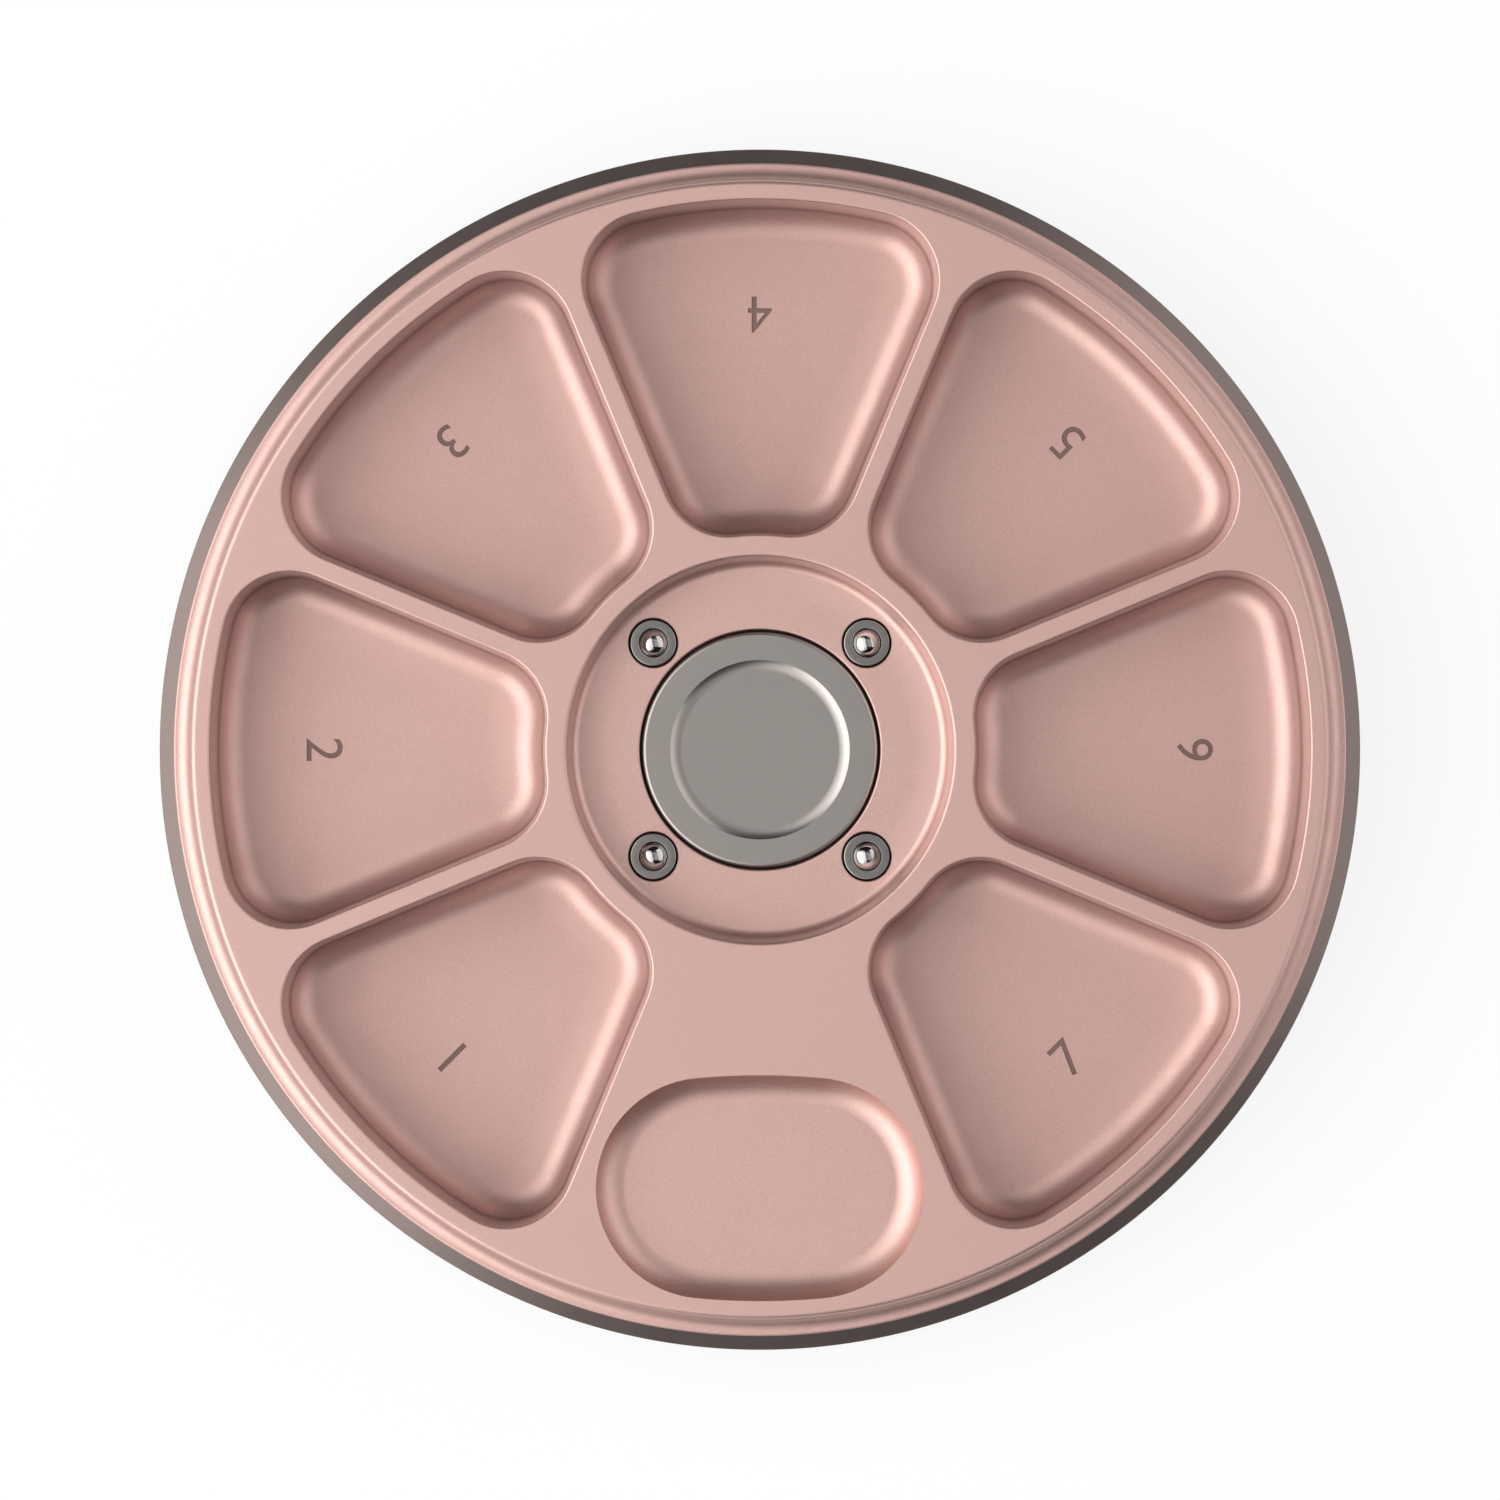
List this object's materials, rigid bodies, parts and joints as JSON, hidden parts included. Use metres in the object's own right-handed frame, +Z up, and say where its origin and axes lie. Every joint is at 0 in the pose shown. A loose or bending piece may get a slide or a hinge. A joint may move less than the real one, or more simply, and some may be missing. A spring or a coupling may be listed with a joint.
{
  "type": "weekly pill case",
  "caption": "Round metal weekly pill case, open: day pockets and an oval dish round a hub with a steel disc and spring-loaded balls that a lid would click on.",
  "frame": {"origin": "middle of the case on the surface that it stands on", "axes": "+Z up out of the pockets, -Y towards the oval dish"},
  "size_m": [0.1214, 0.1214, 0.0165],
  "materials": {
    "rose_aluminium": "fine bead-blasted, rose anodised",
    "graphite_aluminium": "fine bead-blasted, warm grey anodised",
    "satin_steel": "satin, turned",
    "plunger_steel": "satin, turned",
    "ball_steel": "polished",
    "spring_steel": "drawn wire",
    "magnet": "nickel plated",
    "screw_steel": "zinc plated",
    "silicone": "matt"
  },
  "bodies": {
    "case": {"base_shell": "graphite_aluminium", "tray": "rose_aluminium", "centre_disc": "satin_steel", "centre_magnet": "magnet", "disc_screw": "screw_steel", "foot_ring": "silicone", "tray_screw_1": "screw_steel", "tray_screw_2": "screw_steel", "tray_screw_3": "screw_steel", "tray_screw_4": "screw_steel", "plunger_body_1": "plunger_steel", "plunger_body_2": "plunger_steel", "plunger_body_3": "plunger_steel", "plunger_body_4": "plunger_steel", "plunger_spring_1": "spring_steel", "plunger_spring_2": "spring_steel", "plunger_spring_3": "spring_steel", "plunger_spring_4": "spring_steel"},
    "ball_1": {"plunger_ball_1": "ball_steel"},
    "ball_2": {"plunger_ball_2": "ball_steel"},
    "ball_3": {"plunger_ball_3": "ball_steel"},
    "ball_4": {"plunger_ball_4": "ball_steel"}
  },
  "joints": [
    {"name": "ball_1_press", "type": "slide", "parent": "case", "child": "ball_1", "axis": [0, 0, -1], "range_m": [0, 0.0008], "stiffness_N_per_m": 2500, "springref_m": -0.0008, "deforming": ["plunger_spring_1"]},
    {"name": "ball_2_press", "type": "slide", "parent": "case", "child": "ball_2", "axis": [0, 0, -1], "range_m": [0, 0.0008], "stiffness_N_per_m": 2500, "springref_m": -0.0008, "deforming": ["plunger_spring_2"]},
    {"name": "ball_3_press", "type": "slide", "parent": "case", "child": "ball_3", "axis": [0, 0, -1], "range_m": [0, 0.0008], "stiffness_N_per_m": 2500, "springref_m": -0.0008, "deforming": ["plunger_spring_3"]},
    {"name": "ball_4_press", "type": "slide", "parent": "case", "child": "ball_4", "axis": [0, 0, -1], "range_m": [0, 0.0008], "stiffness_N_per_m": 2500, "springref_m": -0.0008, "deforming": ["plunger_spring_4"]}
  ]
}
